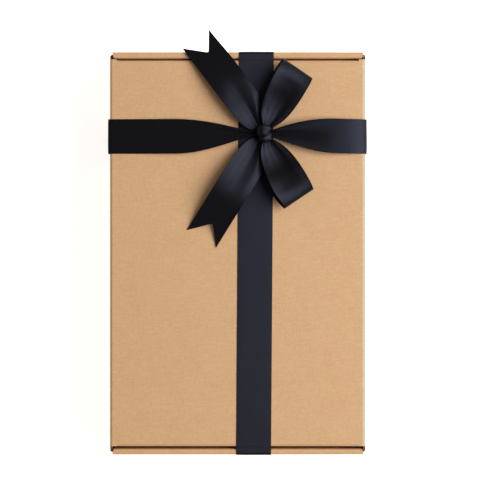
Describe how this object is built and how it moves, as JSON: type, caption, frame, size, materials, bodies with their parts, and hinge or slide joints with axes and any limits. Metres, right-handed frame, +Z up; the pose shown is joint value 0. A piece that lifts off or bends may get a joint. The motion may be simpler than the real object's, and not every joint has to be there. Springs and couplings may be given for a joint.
{
  "type": "gift box",
  "caption": "Flat rectangular corrugated kraft gift box with a hinged tuck-in lid, tied both ways with satin ribbon and a bow.",
  "frame": {"origin": "the point under the middle of the box on the plane it rests on, which lies on the underside of the lengthwise ribbon", "axes": "+Y along the box's length to the end nearest the bow, +X from the hinge side to the tuck-in side, +Z up"},
  "size_m": [0.1792, 0.2956, 0.0788],
  "materials": {
    "kraft_board": "matt brown kraft liner on E-flute corrugated board",
    "black_satin": "double-faced polyester satin, black with a cool sheen"
  },
  "bodies": {
    "base": {"bottom_panel": "kraft_board", "back_wall": "kraft_board", "front_wall": "kraft_board", "corner_flap_back_far": "kraft_board", "corner_flap_back_near": "kraft_board", "corner_flap_front_far": "kraft_board", "corner_flap_front_near": "kraft_board", "end_wall_outer_far": "kraft_board", "end_wall_outer_near": "kraft_board", "end_rim_far": "kraft_board", "end_rim_near": "kraft_board", "end_wall_inner_far": "kraft_board", "end_wall_inner_near": "kraft_board", "ribbon_end_far": "black_satin", "ribbon_end_near": "black_satin", "ribbon_front_drop": "black_satin", "ribbon_back_drop": "black_satin", "ribbon_underside_lengthwise": "black_satin", "ribbon_underside_cross_back": "black_satin", "ribbon_underside_cross_front": "black_satin"},
    "lid": {"lid_panel": "kraft_board", "ribbon_lengthwise_top": "black_satin", "ribbon_crosswise_left": "black_satin", "ribbon_crosswise_right": "black_satin", "bow_knot": "black_satin", "bow_loop_far": "black_satin", "bow_loop_near": "black_satin", "bow_tail_far": "black_satin", "bow_tail_near": "black_satin"},
    "tuck_flap": {"lid_tuck_flap": "kraft_board"},
    "wing_far": {"lid_wing_far": "kraft_board"},
    "wing_near": {"lid_wing_near": "kraft_board"}
  },
  "joints": [
    {"name": "lid_hinge", "type": "hinge", "parent": "base", "child": "lid", "pos_m": [-0.089, 0, 0.06465], "axis": [0, -1, 0], "range_deg": [0, 180]},
    {"name": "tuck_flap_fold", "type": "hinge", "parent": "lid", "child": "tuck_flap", "pos_m": [0.0851, 0, 0.06305], "axis": [0, 1, 0], "range_deg": [0, 80]},
    {"name": "wing_far_fold", "type": "hinge", "parent": "lid", "child": "wing_far", "pos_m": [0, 0.1329, 0.06305], "axis": [-1, 0, 0], "range_deg": [0, 75]},
    {"name": "wing_near_fold", "type": "hinge", "parent": "lid", "child": "wing_near", "pos_m": [0, -0.1329, 0.06305], "axis": [1, 0, 0], "range_deg": [0, 75]}
  ]
}
